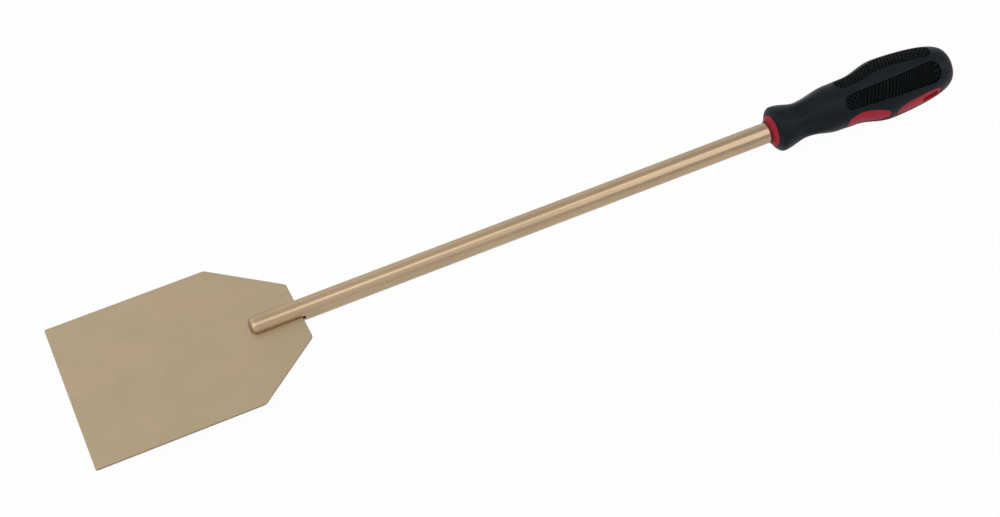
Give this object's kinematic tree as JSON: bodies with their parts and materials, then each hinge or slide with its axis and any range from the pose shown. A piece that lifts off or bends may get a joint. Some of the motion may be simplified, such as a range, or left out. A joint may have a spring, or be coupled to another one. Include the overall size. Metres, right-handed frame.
{
  "type": "scraper",
  "caption": "Long-handled bronze scraper: thin flared blade brazed into a slotted round shaft, with a red and black two-shot moulded grip with ribbed pads and a hang hole.",
  "frame": {"origin": "middle of the working edge, halfway through the blade's thickness and on the shaft's axis", "axes": "+X along the shaft from the working edge to the butt, +Y across the blade, +Z the normal of the blade's upper face"},
  "size_m": [0.6148, 0.125, 0.0412],
  "materials": {
    "bronze plate": "satin, faintly mottled",
    "bronze bar": "satin, drawn lengthwise",
    "braze": "dull",
    "red core moulding": "fine matt",
    "black sleeve moulding": "soft satin",
    "black pad moulding": "matt, ribbed"
  },
  "bodies": {
    "root": {"blade": "bronze plate", "shaft": "bronze bar", "braze_top_left": "braze", "braze_top_right": "braze", "braze_bottom_left": "braze", "braze_bottom_right": "braze", "grip_core": "red core moulding", "grip_sleeve": "black sleeve moulding", "grip_pad_1": "black pad moulding", "grip_pad_2": "black pad moulding", "grip_pad_3": "black pad moulding", "grip_pad_4": "black pad moulding"}
  },
  "joints": []
}
